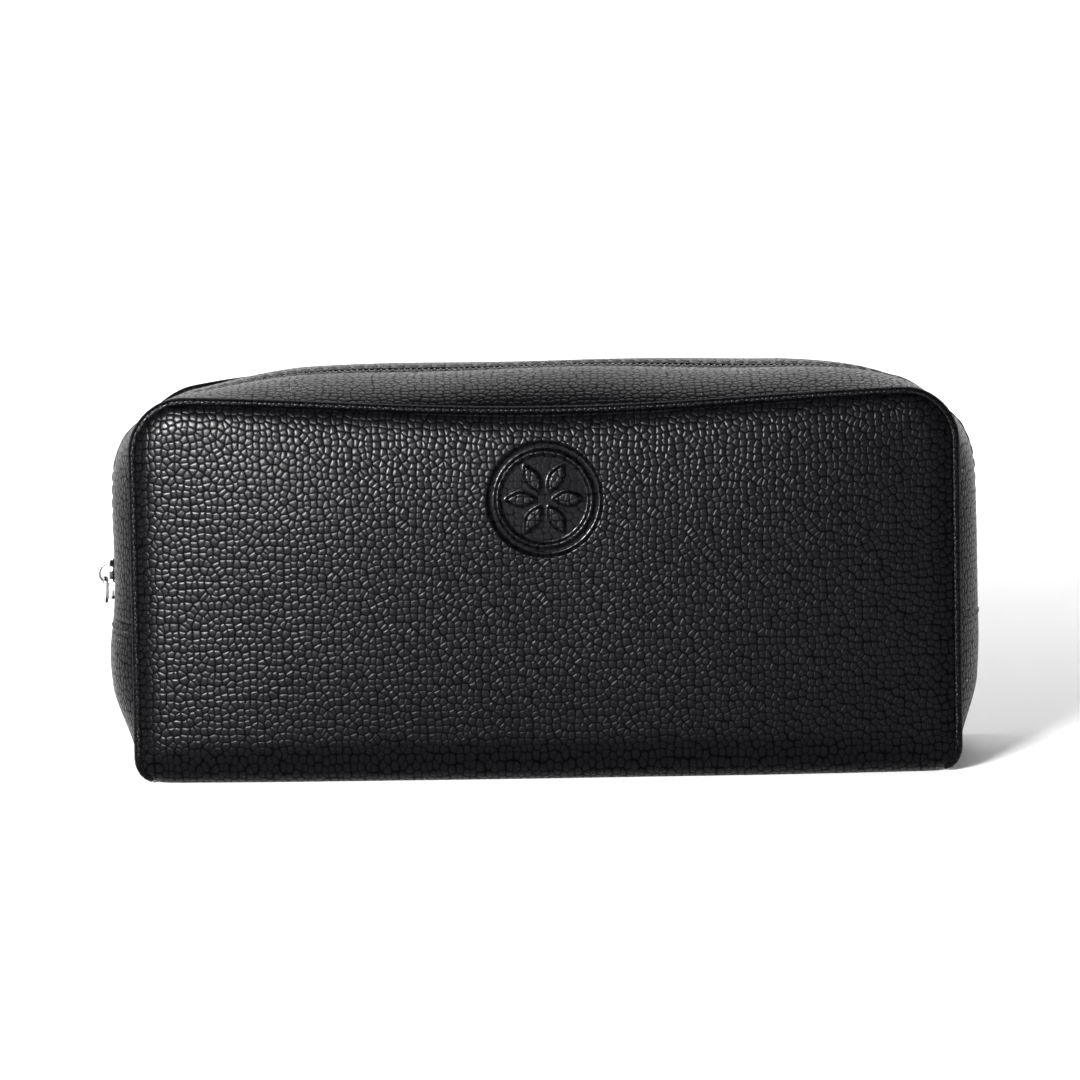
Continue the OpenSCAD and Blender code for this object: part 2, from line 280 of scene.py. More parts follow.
def mark_press(x, z):
    """(depth, share pressed) of the round mark: a pressed disc with a raised ring and six petals."""
    dx, dz = x, z - MARK_Z
    r = math.hypot(dx, dz)
    inside = 1 - smooth(MARK_RADIUS - 0.9 * MM, MARK_RADIUS, r)
    if inside <= 0:
        return 0.0, 0.0
    ring = 1 - smooth(0.35 * MM, 0.85 * MM, abs(r - 0.8 * MARK_RADIUS))
    sector = math.pi / 3
    angle = (math.atan2(dz, dx) + sector / 2) % sector - sector / 2
    along, aside = r * math.cos(angle), abs(r * math.sin(angle))
    root, tip = 0.12 * MARK_RADIUS, 0.68 * MARK_RADIUS
    petal = 0.0
    if root < along < tip:
        half = 1.9 * MM * math.sin(math.pi * (along - root) / (tip - root))
        petal = 1 - smooth(half - 0.45 * MM, half + 0.1 * MM, aside)
    raised = max(ring, petal)
    return MARK_DEPTH * inside * (1 - 0.7 * raised), inside * (1 - 0.6 * raised)


# ---------- Meshes ----------


def new_object(name, points, faces, uv=None, material=None):
    """A smooth-shaded object with its faces turned outwards.
    Where it is given, uv holds a UV in metres for each point."""
    mesh = bpy.data.meshes.new(name)
    mesh.from_pydata(points, [], faces)
    if uv is not None:
        layer = mesh.uv_layers.new(name="UVMap")
        corners = np.zeros(len(mesh.loops), np.int32)
        mesh.loops.foreach_get("vertex_index", corners)
        layer.data.foreach_set("uv", np.asarray(uv, np.float32)[corners].ravel())
    work = bmesh.new()
    work.from_mesh(mesh)
    bmesh.ops.recalc_face_normals(work, faces=work.faces)
    work.to_mesh(mesh)
    work.free()
    for face in mesh.polygons:
        face.use_smooth = True
    piece = bpy.data.objects.new(name, mesh)
    bpy.context.scene.collection.objects.link(piece)
    if material:
        mesh.materials.append(material)
    return piece


def ring_faces(rows, count, first=0):
    """Quads between neighbouring rings of points."""
    index = np.arange(rows * count).reshape(rows, count) + first
    low, high = index[:-1], index[1:]
    quads = np.stack([low, np.roll(low, -1, 1), np.roll(high, -1, 1), high], -1)
    return quads.reshape(-1, 4).tolist()


RIM_TURNS = (0.25, 0.5, 0.75)


def rim(outer, inner, before):
    """Points that round a sheet's edge from its outer corner to its inner corner."""
    middle = (outer + inner) / 2
    up = outer - middle
    ahead = outer - before
    ahead /= max(np.linalg.norm(ahead), 1e-9)
    size = np.linalg.norm(up)
    return [
        middle + up * math.cos(math.pi * t) + ahead * size * math.sin(math.pi * t) for t in RIM_TURNS
    ]


def slab(name, outer, inner, uv, material):
    """A closed sheet between two grids of points, with rounded long edges."""
    rows, columns = outer.shape[:2]
    edges = len(RIM_TURNS)
    rings, ring_uv = [], []
    for r in range(rows):
        right = rim(outer[r, -1], inner[r, -1], outer[r, -2])
        left = rim(inner[r, 0], outer[r, 0], inner[r, 1])
        rings += list(outer[r]) + right + list(inner[r, ::-1]) + left
        ring_uv += list(uv[r]) + [uv[r, -1]] * edges + list(uv[r, ::-1]) + [uv[r, 0]] * edges
    count = 2 * columns + 2 * edges
    faces = ring_faces(rows, count)
    for start in (0, (rows - 1) * count):
        for c in range(columns - 1):
            below = start + 2 * columns + edges - 1 - c
            faces.append([start + c, start + c + 1, below - 1, below])
        faces.append([start + columns - 1 + k for k in range(edges + 2)])
        faces.append([start + count - edges - 1 + k for k in range(edges + 1)] + [start])
    return new_object(name, [tuple(p) for p in rings], faces, ring_uv, material)


def tube(name, path, radius, material, sides, closed=False, taper=0, squash=(1, 1), aside=(0, 1, 0)):
    """A bar along a path, its section carried along so that it does not twist.
    taper is how many rings its rounded ends take, and squash scales its section's two ways."""
    path = np.asarray(path, float)
    rows = len(path)
    if closed:
        ahead = np.roll(path, -1, 0) - np.roll(path, 1, 0)
    else:
        ahead = np.gradient(path, axis=0)
    ahead /= np.linalg.norm(ahead, axis=1)[:, None]
    across = np.cross(ahead[0], aside)
    if np.linalg.norm(across) < 1e-3:
        across = np.cross(ahead[0], (1, 0, 0.2))
    across /= np.linalg.norm(across)
    points, uv, run = [], [], 0.0
    for r in range(rows):
        across = across - ahead[r] * float(across @ ahead[r])
        across /= np.linalg.norm(across)
        other = np.cross(ahead[r], across)
        if r:
            run += float(np.linalg.norm(path[r] - path[r - 1]))
        size = radius
        if taper:
            end = min(r, rows - 1 - r) / taper
            size *= math.sqrt(max(1 - (1 - min(end, 1)) ** 2, 0.02))
        for s in range(sides):
            turn = 2 * math.pi * s / sides
            first_way = across * (size * squash[0] * math.cos(turn))
            second_way = other * (size * squash[1] * math.sin(turn))
            points.append(tuple(path[r] + first_way + second_way))
            uv.append((run, radius * turn))
    faces = ring_faces(rows, sides)
    if closed:
        last = (rows - 1) * sides
        for s in range(sides):
            n = (s + 1) % sides
            faces.append([last + s, last + n, n, s])
    else:
        faces.append(list(range(sides)))
        faces.append([(rows - 1) * sides + s for s in range(sides)])
    return new_object(name, points, faces, uv, material)


def joined_piece(name, pieces):
    """Several pieces as one object."""
    points, faces, uv, first = [], [], [], 0
    material = pieces[0].data.materials[0]
    for piece in pieces:
        mesh = piece.data
        count = len(mesh.vertices)
        points += [tuple(v.co) for v in mesh.vertices]
        faces += [[first + i for i in f.vertices] for f in mesh.polygons]
        point_uv = np.zeros((count, 2))
        if mesh.uv_layers:
            for loop, data in zip(mesh.loops, mesh.uv_layers[0].data):
                point_uv[loop.vertex_index] = data.uv
        uv += point_uv.tolist()
        first += count
        bpy.data.objects.remove(piece)
    return new_object(name, points, faces, uv, material)


# ---------- Materials ----------


class Nodes:
    """A small helper that adds and links shader nodes."""

    def __init__(self, name):
        self.material = bpy.data.materials.new(name)
        self.material.use_nodes = True
        self.tree = self.material.node_tree
        self.shader = self.tree.nodes["Principled BSDF"]

    def add(self, kind, **settings):
        node = self.tree.nodes.new(kind)
        for key, value in settings.items():
            setattr(node, key, value)
        return node

    def link(self, source, target):
        self.tree.links.new(source, target)

    def math(self, operation, a, b=0.0):
        node = self.add("ShaderNodeMath", operation=operation)
        for socket, value in zip(node.inputs, (a, b)):
            if isinstance(value, (int, float)):
                socket.default_value = value
            else:
                self.link(value, socket)
        return node.outputs[0]

    def ramp(self, source, stops, colours=False):
        node = self.add("ShaderNodeValToRGB")
        self.link(source, node.inputs[0])
        elements = node.color_ramp.elements
        while len(elements) < len(stops):
            elements.new(0.5)
        for element, (place, value) in zip(elements, stops):
            element.position = place
            element.color = (*value, 1) if colours else (value, value, value, 1)
        return node.outputs[0]

    def place(self, source, scale, turn=0.0):
        """UV in metres, scaled to the pattern's own unit."""
        mapping = self.add("ShaderNodeMapping")
        mapping.inputs["Scale"].default_value = (scale, scale, scale)
        mapping.inputs["Rotation"].default_value = (0, 0, turn)
        self.link(source, mapping.inputs["Vector"])
        return mapping.outputs[0]

    def bump(self, height, strength, distance, after=None):
        node = self.add("ShaderNodeBump")
        node.inputs["Strength"].default_value = strength
        node.inputs["Distance"].default_value = distance
        self.link(height, node.inputs["Height"])
        if after is not None:
            self.link(after, node.inputs["Normal"])
        return node.outputs[0]

    def set(self, **values):
        for key, value in values.items():
            self.shader.inputs[key.replace("_", " ")].default_value = value


def leather_material(name, pebble=1.75 * MM, depth=0.11 * MM, with_mark=False):
    """Black pebbled leather: soft flat-topped pebbles between fine creases, glossier on top, with
    painted shade in the creases.
    """
    n = Nodes(name)
    where = n.add("ShaderNodeTexCoord").outputs["UV"]
    base = n.place(where, 1 / pebble)
    scatter = 0.72
    cells = n.add("ShaderNodeTexVoronoi", voronoi_dimensions="2D", feature="SMOOTH_F1")
    cells.inputs["Scale"].default_value = 1.0
    cells.inputs["Smoothness"].default_value = 0.12
    cells.inputs["Randomness"].default_value = scatter
    n.link(base, cells.inputs["Vector"])
    edge = n.add("ShaderNodeTexVoronoi", voronoi_dimensions="2D", feature="DISTANCE_TO_EDGE")
    edge.inputs["Scale"].default_value = 1.0
    edge.inputs["Randomness"].default_value = scatter
    n.link(base, edge.inputs["Vector"])
    crease = n.ramp(edge.outputs["Distance"], [(0.0, 0.0), (0.1, 0.5), (0.22, 0.86), (0.4, 1.0)])
    dome = n.ramp(cells.outputs["Distance"], [(0.0, 1.0), (0.3, 0.9), (0.65, 0.3), (0.95, 0.0)])
    fine = n.add("ShaderNodeTexNoise")
    fine.inputs["Scale"].default_value = 4.0
    fine.inputs["Detail"].default_value = 5
    n.link(base, fine.inputs["Vector"])
    uneven = n.add("ShaderNodeTexNoise")
    uneven.inputs["Scale"].default_value = 0.7
    uneven.inputs["Detail"].default_value = 2
    n.link(base, uneven.inputs["Vector"])
    height = n.math("ADD", n.math("MULTIPLY", crease, 0.55), n.math("MULTIPLY", dome, 0.45))
    height = n.math("MULTIPLY", height, n.math("ADD", 0.62, n.math("MULTIPLY", uneven.outputs[0], 0.7)))
    height = n.math("ADD", height, n.math("MULTIPLY", fine.outputs[0], 0.1))
    patch = n.add("ShaderNodeTexNoise")
    patch.inputs["Scale"].default_value = 0.09
    patch.inputs["Detail"].default_value = 3
    n.link(base, patch.inputs["Vector"])
    rough = n.ramp(height, [(0.2, 0.42), (0.95, 0.27)])
    rough = n.math("ADD", rough, n.math("MULTIPLY", n.math("SUBTRACT", patch.outputs[0], 0.5), 0.12))
    # The colour follows the grain's height: a darker black in the creases than on the pebble tops,
    # painted shade in the creases.
    crease_painted_shade = (0.001, 0.001, 0.0012)
    pebble_black = (0.005, 0.005, 0.006)
    colour = n.ramp(height, [(0.15, crease_painted_shade), (0.9, pebble_black)], colours=True)
    specular = n.ramp(height, [(0.15, 0.02), (0.7, 0.12)])
    if with_mark:
        pressed = n.add("ShaderNodeAttribute", attribute_name="pressed").outputs["Fac"]
        grain = n.math("SUBTRACT", 1.0, n.math("MULTIPLY", pressed, 0.86))
        height = n.math("MULTIPLY", height, grain)
        rough = n.math("SUBTRACT", rough, n.math("MULTIPLY", pressed, 0.06))
    n.link(colour, n.shader.inputs["Base Color"])
    n.link(rough, n.shader.inputs["Roughness"])
    n.link(specular, n.shader.inputs["Specular IOR Level"])
    n.link(n.bump(height, 1.0, depth), n.shader.inputs["Normal"])
    return n.material


def cloth_material(name, colour, pitch, sheen=0.25, depth=0.06 * MM):
    """Fine twill: slanting ribs crossed by threads, with a little fuzz, and painted shade in the
    weave's hollows.
    """
    n = Nodes(name)
    where = n.add("ShaderNodeTexCoord").outputs["UV"]
    ribs = n.add("ShaderNodeTexWave", wave_type="BANDS", bands_direction="X", wave_profile="SIN")
    ribs.inputs["Scale"].default_value = 1.0
    ribs.inputs["Distortion"].default_value = 0.15
    n.link(n.place(where, 0.3 / pitch, turn=math.radians(55)), ribs.inputs["Vector"])
    threads = n.add("ShaderNodeTexWave", wave_type="BANDS", bands_direction="Y", wave_profile="SIN")
    threads.inputs["Scale"].default_value = 1.0
    n.link(n.place(where, 0.55 / pitch), threads.inputs["Vector"])
    fuzz = n.add("ShaderNodeTexNoise")
    fuzz.inputs["Scale"].default_value = 1.0
    fuzz.inputs["Detail"].default_value = 4
    n.link(n.place(where, 0.25 / pitch), fuzz.inputs["Vector"])
    crossing = n.math("ADD", 0.6, n.math("MULTIPLY", threads.outputs[0], 0.4))
    weave = n.math("MULTIPLY", ribs.outputs[0], crossing)
    height = n.math("ADD", weave, n.math("MULTIPLY", fuzz.outputs[0], 0.4))
    # The colour follows the weave's height, down to 0.55 of the cloth's colour in its hollows: painted
    # shade.
    dark = tuple(0.55 * c for c in colour)
    n.link(n.ramp(height, [(0.1, dark), (1.0, colour)], colours=True), n.shader.inputs["Base Color"])
    n.link(n.ramp(fuzz.outputs[0], [(0.2, 0.62), (0.8, 0.82)]), n.shader.inputs["Roughness"])
    n.link(n.bump(height, 0.8, depth), n.shader.inputs["Normal"])
    n.set(Sheen_Weight=sheen, Sheen_Roughness=0.4, Specular_IOR_Level=0.3)
    return n.material


def nylon_material(name):
    """Black nylon of the zip's coil, a little shiny, with drawn lines."""
    n = Nodes(name)
    where = n.add("ShaderNodeTexCoord").outputs["Object"]
    lines = n.add("ShaderNodeTexNoise")
    lines.inputs["Scale"].default_value = 900
    lines.inputs["Detail"].default_value = 2
    n.link(where, lines.inputs["Vector"])
    n.link(n.ramp(lines.outputs[0], [(0.2, 0.26), (0.8, 0.42)]), n.shader.inputs["Roughness"])
    dark, light = (0.008, 0.008, 0.009), (0.014, 0.014, 0.016)
    shade = n.ramp(lines.outputs[0], [(0.3, dark), (0.7, light)], colours=True)
    n.link(shade, n.shader.inputs["Base Color"])
    n.link(n.bump(lines.outputs[0], 0.2, 0.03 * MM), n.shader.inputs["Normal"])
    return n.material


def metal_material(name):
    """Polished nickel plate with faint rub marks."""
    n = Nodes(name)
    where = n.add("ShaderNodeTexCoord").outputs["Object"]
    rub = n.add("ShaderNodeTexNoise")
    rub.inputs["Scale"].default_value = 700
    rub.inputs["Detail"].default_value = 6
    n.link(where, rub.inputs["Vector"])
    stain = n.add("ShaderNodeTexNoise")
    stain.inputs["Scale"].default_value = 160
    n.link(where, stain.inputs["Vector"])
    n.link(n.ramp(rub.outputs[0], [(0.3, 0.1), (0.75, 0.24)]), n.shader.inputs["Roughness"])
    dull, bright = (0.52, 0.52, 0.53), (0.64, 0.64, 0.65)
    tint = n.ramp(stain.outputs[0], [(0.3, dull), (0.7, bright)], colours=True)
    n.link(tint, n.shader.inputs["Base Color"])
    n.link(n.bump(rub.outputs[0], 0.12, 0.02 * MM), n.shader.inputs["Normal"])
    n.set(Metallic=1.0)
    return n.material


def thread_material(name):
    """Black polyester thread with a visible twist, and painted shade in the twist's grooves."""
    n = Nodes(name)
    where = n.add("ShaderNodeTexCoord").outputs["UV"]
    twist = n.add("ShaderNodeTexWave", wave_type="BANDS", bands_direction="DIAGONAL")
    twist.inputs["Scale"].default_value = 1.0
    n.link(n.place(where, 700), twist.inputs["Vector"])
    # The colour follows the twist's bands, darker in the grooves: painted shade along the twist.
    dark, light = (0.006, 0.006, 0.007), (0.03, 0.03, 0.033)
    shade = n.ramp(twist.outputs[0], [(0.1, dark), (0.8, light)], colours=True)
    n.link(shade, n.shader.inputs["Base Color"])
    n.link(n.ramp(twist.outputs[0], [(0.0, 0.6), (1.0, 0.4)]), n.shader.inputs["Roughness"])
    n.link(n.bump(twist.outputs[0], 0.5, 0.05 * MM), n.shader.inputs["Normal"])
    return n.material


def filler_material(name, light, dark, scale):
    """Foam or board: speckled, dull and slightly pitted."""
    n = Nodes(name)
    where = n.add("ShaderNodeTexCoord").outputs["Object"]
    pits = n.add("ShaderNodeTexNoise")
    pits.inputs["Scale"].default_value = scale
    pits.inputs["Detail"].default_value = 6
    n.link(where, pits.inputs["Vector"])
    shade = n.ramp(pits.outputs[0], [(0.35, dark), (0.65, light)], colours=True)
    n.link(shade, n.shader.inputs["Base Color"])
    n.link(n.ramp(pits.outputs[0], [(0.3, 0.95), (0.7, 0.8)]), n.shader.inputs["Roughness"])
    n.link(n.bump(pits.outputs[0], 0.6, 0.15 * MM), n.shader.inputs["Normal"])
    return n.material


LEATHER_FRONT = leather_material("leather_pebbled_marked", with_mark=True)
LEATHER_PLAIN = leather_material("leather_pebbled")
LEATHER_WELT = leather_material("leather_piping", pebble=1.3 * MM, depth=0.08 * MM)
LINING = cloth_material("lining_twill", (0.12, 0.12, 0.13), 0.7 * MM)
TAPE = cloth_material("zip_tape_weave", (0.022, 0.022, 0.024), 0.5 * MM, sheen=0.15)
NYLON = nylon_material("zip_nylon")
SILVER = metal_material("polished_nickel")
THREAD = thread_material("black_thread")
FOAM_GREY = filler_material("foam_grey", (0.42, 0.42, 0.43), (0.28, 0.28, 0.29), 900)
BOARD = filler_material("base_board_grey", (0.4, 0.37, 0.32), (0.3, 0.27, 0.22), 400)

# ---------- How the pieces are baked in place or put on the bag ---


def bend_skin(piece):
    """Bakes the piece's transform into its mesh; it is not bent with the front."""
    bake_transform(piece)


def bend_strip(piece):
    """Bakes the piece's transform into its mesh; it is not bent."""
    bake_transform(piece)


def follow_side(piece, side):
    """A piece beside the zip: on the front (-1) its transform is baked, on the back (1) it is put on
    the bag's body.
    """
    if side < 0:
        bend_strip(piece)
    else:
        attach(piece, "bag")


# ---------- Leather, foam and lining of the walls ----------


def skin_layer(name, outer_depth, inner_depth, margin, run, columns, material, marked=False):
    """A sheet of the walls between two depths below the leather's outside.
    run holds lengths along the skin and columns holds shares of the half width."""
    rows = len(run)
    base = np.zeros((rows, len(columns), 3))
    rise_way = np.zeros((rows, 3))
    uv = np.zeros((rows, len(columns), 2))
    press = np.zeros((rows, len(columns)))
    share = np.zeros((rows, len(columns)))
    for r, p in enumerate(run):
        y, z, out_y, out_z = skin_profile(p)
        half = skin_half_width(z) - margin
        rise_way[r] = (0, out_y, out_z)
        for c, u in enumerate(columns):
            x = u * half
            rise = wall_rise(x, z, p)
            drop = sag(x, z) + droop(x, y, z)
            base[r, c] = (x, y + out_y * rise, z + out_z * rise - drop)
            uv[r, c] = (x, p)
            if marked and p < 0:
                press[r, c], share[r, c] = mark_press(x, z - drop)
    along = np.gradient(base, axis=0)
    across = np.gradient(base, axis=1)
    normal = np.cross(across, along)
    normal /= np.maximum(np.linalg.norm(normal, axis=2), 1e-12)[..., None]
    flip = np.sign(np.einsum("rck,rk->rc", normal, rise_way))
    normal *= np.where(flip == 0, 1, flip)[..., None]
    outer = base - normal * (outer_depth + press)[..., None]
    inner = base - normal * inner_depth
    piece = slab(name, outer, inner, uv, material)
    if marked:
        attribute = piece.data.attributes.new("pressed", "FLOAT", "POINT")
        values = np.zeros(len(piece.data.vertices), np.float32)
        count = 2 * len(columns) + 2 * len(RIM_TURNS)
        for r in range(rows):
            values[r * count:r * count + len(columns)] = share[r]
        attribute.data.foreach_set("value", values)
    return piece


def marked_skin_run(low, high):
    """Lengths along the skin, closer together over the pressed mark and in the folds."""
    mark_middle = -(SKIN_BASE + SKIN_FOLD + MARK_Z - FOLD)
    mark_low = mark_middle - MARK_RADIUS - SAG
    mark_high = mark_middle + MARK_RADIUS + 1 * MM
    return joined(
        steps(low, mark_low, 0.8 * MM),
        steps(mark_low, mark_high, MARK_STEP),
        steps(mark_high, -SKIN_BASE, 1.3 * MM),
        steps(-SKIN_BASE, SKIN_BASE, 3 * MM),
        steps(SKIN_BASE, high - 10 * MM, 1.6 * MM),
        steps(high - 10 * MM, high, 0.9 * MM),
    )


def skin_columns(step, mark=False):
    """Shares of the half width, closer together near the side seams and over the mark."""
    edge_band = 9 * MM
    near_edge = 1 - edge_band / HALF_WIDTH
    marked = (MARK_RADIUS + 1 * MM) / HALF_WIDTH
    across_mark = MARK_STEP if mark else step
    middle = joined(
        steps(-near_edge, -marked, step / HALF_WIDTH),
        steps(-marked, marked, across_mark / HALF_WIDTH),
        steps(marked, near_edge, step / HALF_WIDTH),
    )
    edge_step = 0.9 * MM / HALF_WIDTH
    return joined(steps(-1, -near_edge, edge_step), middle, steps(near_edge, 1, edge_step))


def make_walls():
    """Leather, foam and lining, each one sheet or two, from the outside in."""
    skin_end = SKIN_HALF - LEATHER_INSET
    skin = skin_layer(
        "leather_skin", 0, LEATHER, LEATHER_INSET, marked_skin_run(-skin_end, skin_end),
        skin_columns(1.8 * MM, mark=True), LEATHER_FRONT, marked=True,
    )
    bend_skin(skin)
    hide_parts("main_panel", "front_panel")

    foam_low = LEATHER + LAYER_GAP
    foam_high = foam_low + FOAM
    wall_low = SKIN_BASE + SKIN_FOLD + 2 * MM
    foam_edge = 5 * MM
    columns = skin_columns(4 * MM)
    for name, low, high, nodes in (
        ("front_foam", -SKIN_HALF + foam_edge, -wall_low, ("front_padding", "lower_front_padding")),
        ("back_foam", wall_low, SKIN_HALF - foam_edge, ("back_padding",)),
    ):
        run = steps(low, high, 3 * MM)
        foam = skin_layer(name, foam_low, foam_high, foam_edge, run, columns, FOAM_GREY)
        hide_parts(*nodes)
        if low < 0:
            bend_skin(foam)
        else:
            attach(foam, "bag")

    cloth_low = foam_high + LAYER_GAP
    lining_edge = 2.4 * MM
    lining = skin_layer(
        "wall_lining", cloth_low, cloth_low + CLOTH, lining_edge,
        steps(-SKIN_HALF + lining_edge, SKIN_HALF - lining_edge, 2 * MM),
        skin_columns(3 * MM), LINING,
    )
    bend_skin(lining)
    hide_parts("main_lining", "front_lining")


# ---------- Gusset ----------


def length_uv(grid):
    """For each point of a grid, the lengths to it along the middle column and across its row."""
    middle = grid.shape[1] // 2
    along = np.linalg.norm(np.diff(grid[:, middle], axis=0), axis=1)
    across = np.linalg.norm(np.diff(grid, axis=1), axis=2)
    uv = np.zeros(grid.shape[:2] + (2,))
    uv[1:, :, 0] = np.cumsum(along)[:, None]
    uv[:, 1:, 1] = np.cumsum(across, axis=1)
    uv[:, :, 1] -= uv[:, middle:middle + 1, 1]
    return uv


def strip_layer(name, side, near_y, far_y, outer_depth, inner_depth, low_z, material, step=2 * MM):
    """A strip of the gusset on the front (-1) or back (1), from its seam edge to near the zip."""
    end = seam_at_height(low_z)
    path = steps(-end, end, step)
    section = steps(far_y, near_y, 1.7 * MM)
    outer = np.array([[gusset_point(q, side * y, outer_depth) for y in section] for q in path])
    inner = np.array([[gusset_point(q, side * y, inner_depth) for y in section] for q in path])
    return slab(name, outer, inner, length_uv(outer), material)


def closed_layer(name, side, edge, outer_depth, inner_depth, high_z, low, material):
    """The closed gusset below the zip's end, on the left (-1) or the right (1)."""
    path = steps(side * seam_at_height(high_z), side * low, 1.2 * MM)
    shares = [math.sin(math.pi / 2 * t) for t in np.linspace(-1, 1, 45)]
    outer, inner = [], []
    for q in path:
        reach = seam(q)[4] - edge
        outer.append([gusset_point(q, share * reach, outer_depth) for share in shares])
        inner.append([gusset_point(q, share * reach, inner_depth) for share in shares])
    outer, inner = np.array(outer), np.array(inner)
    return slab(name, outer, inner, length_uv(outer), material)


def make_gusset():
    """The strips beside the zip and the closed pieces below its ends, each with its lining."""
    strip_edge = HALF_DEPTH - LEATHER_INSET
    lining_edge = HALF_DEPTH - LINING_INSET
    lining_near = ZIP_GAP + 1 * MM
    lining_low = LEATHER + CLOTH + 2 * LAYER_GAP
    lining_high = lining_low + CLOTH
    strip_low = ZIP_END + 2 * LAYER_GAP
    for side, word in ((-1, "front"), (1, "back")):
        strip = strip_layer(
            f"{word}_gusset_strip", side, ZIP_GAP, strip_edge, 0, LEATHER, strip_low, LEATHER_PLAIN
        )
        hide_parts(f"{word}_gusset")
        lining = strip_layer(
            f"{word}_strip_lining", side, lining_near, lining_edge, lining_low, lining_high,
            strip_low, LINING,
        )
        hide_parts(f"{word}_gusset_lining")
        follow_side(strip, side)
        follow_side(lining, side)
    for side, word in ((-1, "left"), (1, "right")):
        closed = closed_layer(
            f"{word}_closed_gusset", side, LEATHER_INSET, 0, LEATHER, ZIP_END, SEAM_HALF,
            LEATHER_PLAIN,
        )
        crosswise_stitches(f"{word}_cross_stitches", side)
        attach(closed, "bag")
        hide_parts(f"{word}_side_gusset")
        lining = closed_layer(
            f"{word}_closed_lining", side, LINING_INSET, lining_low, lining_high, ZIP_END,
            seam_at_height(FOLD), LINING,
        )
        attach(lining, "bag")
        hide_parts(f"{word}_side_lining")


def make_welts():
    """Piping in the front and back seams, down to where it runs under the base."""
    foot = SEAM_HALF - 0.3 * SEAM_FOOT
    for side, word, nodes in (
        (-1, "front", ("front_welt", "front_welt_feet")),
        (1, "back", ("back_welt",)),
    ):
        path = []
        for q in steps(-foot, foot, 1.2 * MM):
            x, z, _, _, depth = seam(q)
            drop = sag(x, z) + droop(x, side * depth, z)
            path.append((x, side * depth, max(z - drop, WELT + 0.1 * MM)))
        cord = tube(f"{word}_piping", path, WELT, LEATHER_WELT, sides=12, taper=3)
        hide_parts(*nodes)
        follow_side(cord, side)


# ---------- Zip ----------

COIL_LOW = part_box("back_zip_coil")[0][2]
COIL_PITCH = 1.5 * MM
COIL_WIRE = 0.35 * MM
COIL_MIDDLE = 1.0 * MM
COIL_HALF_WIDTH = 1.6 * MM
COIL_HALF_HEIGHT = 0.55 * MM
TAPE_THICKNESS = 0.5 * MM
TAPE_NEAR = 0.35 * MM
TAPE_END = ZIP_END - 3 * MM
STITCH_PITCH = 3.4 * MM
STITCH_GAP = 0.16
THREAD_RADIUS = 0.26 * MM


def make_zip():
    """Tape, coil, sewing and end stops of each half of the zip."""
    tape_low = LEATHER + LAYER_GAP
    tape_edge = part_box("back_zip_tape")[1][1]
    coil_end = seam_at_height(COIL_LOW)
    turns = int(2 * coil_end / COIL_PITCH)
    for side, word in ((-1, "front"), (1, "back")):
        tape = strip_layer(
            f"{word}_tape", side, TAPE_NEAR, tape_edge, tape_low, tape_low + TAPE_THICKNESS,
            TAPE_END, TAPE,
        )
        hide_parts(f"{word}_zip_tape")
        path = []
        per_turn = 10
        for i in range(turns * per_turn + 1):
            turn = i / per_turn
            q = -coil_end + turn * COIL_PITCH
            angle = 2 * math.pi * turn + (math.pi if side > 0 else 0)
            y = side * (COIL_MIDDLE + COIL_HALF_WIDTH * math.cos(angle))
            path.append(gusset_point(q, y, COIL_HALF_HEIGHT * (1 - math.sin(angle))))
        coil = tube(f"{word}_coil", path, COIL_WIRE, NYLON, sides=6)
        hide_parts(f"{word}_zip_coil")
        follow_side(tape, side)
        follow_side(coil, side)
        stitches = zip_stitches(f"{word}_zip_stitches", side * (ZIP_GAP + 2.1 * MM))
        follow_side(stitches, side)
        stops = stop_clamps(f"{word}_stops", side)
        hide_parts(f"{word}_zip_stops")
        follow_side(stops, side)


def stitch_row(name, point_at, length):
    """Short threads that dip into the leather, along point_at(run, depth) for runs up to length."""
    count = int(length / STITCH_PITCH)
    pitch = length / count
    stitches = []
    for start in range(count):
        path = []
        for t in np.linspace(0, 1, 7):
            along = start + STITCH_GAP / 2 + (1 - STITCH_GAP) * t
            depth = 0.12 * MM - 0.16 * MM * math.sin(math.pi * t) ** 0.5
            path.append(point_at(along * pitch, depth))
        stitches.append(tube("stitch", path, THREAD_RADIUS, THREAD, sides=6, taper=1.5))
    row = joined_piece(name, stitches)
    return row


def zip_stitches(name, y):
    """Sewing beside the zip's folded leather edge."""
    end = seam_at_height(ZIP_END + 2 * MM)
    return stitch_row(name, lambda run, depth: gusset_point(run - end, y, depth), 2 * end)


def crosswise_stitches(name, side):
    """Sewing across the closed gusset, just below the zip's end."""
    q = side * seam_at_height(ZIP_END - 2 * MM)
    half = HALF_DEPTH - 3 * MM
    row = stitch_row(name, lambda run, depth: gusset_point(q, run - half, depth), 2 * half)
    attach(row, "bag")


def stop_clamps(name, side):
    """Bent metal clamps at the ends of one row of the coil."""
    low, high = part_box("back_zip_stops")
    y = side * 1.5 * MM
    sunk = 0.5 * MM
    radius = 1 * MM
    clamps = []
    for end in (-1, 1):
        path = []
        for z in np.linspace(low[2], high[2], 8):
            path.append(gusset_point(end * seam_at_height(z), y, sunk))
        clamps.append(tube("clamp", path, radius, SILVER, sides=12, taper=2, squash=(0.85, 1.0)))
    return joined_piece(name, clamps)


# ---------- Slider ----------

OUTER_PLATE = 1.2 * MM
INNER_PLATE = 1 * MM
NOSE_SHARE = 0.72
BRIDGE_WALL = 1 * MM
# The left half of a plate's outline below its nose: shares of half the mouth and of the height
SHOULDERS = ((0.97, 0.5), (1.0, 0.35), (1.0, 0.08), (0.86, 0.0))


def slider_piece(name, body, node, parts):
    """Joins parts made in the slider's place, and puts them on a body."""
    piece = joined_piece(name, parts) if len(parts) > 1 else parts[0]
    piece.name = name
    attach(piece, body)
    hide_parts(node)
    return piece


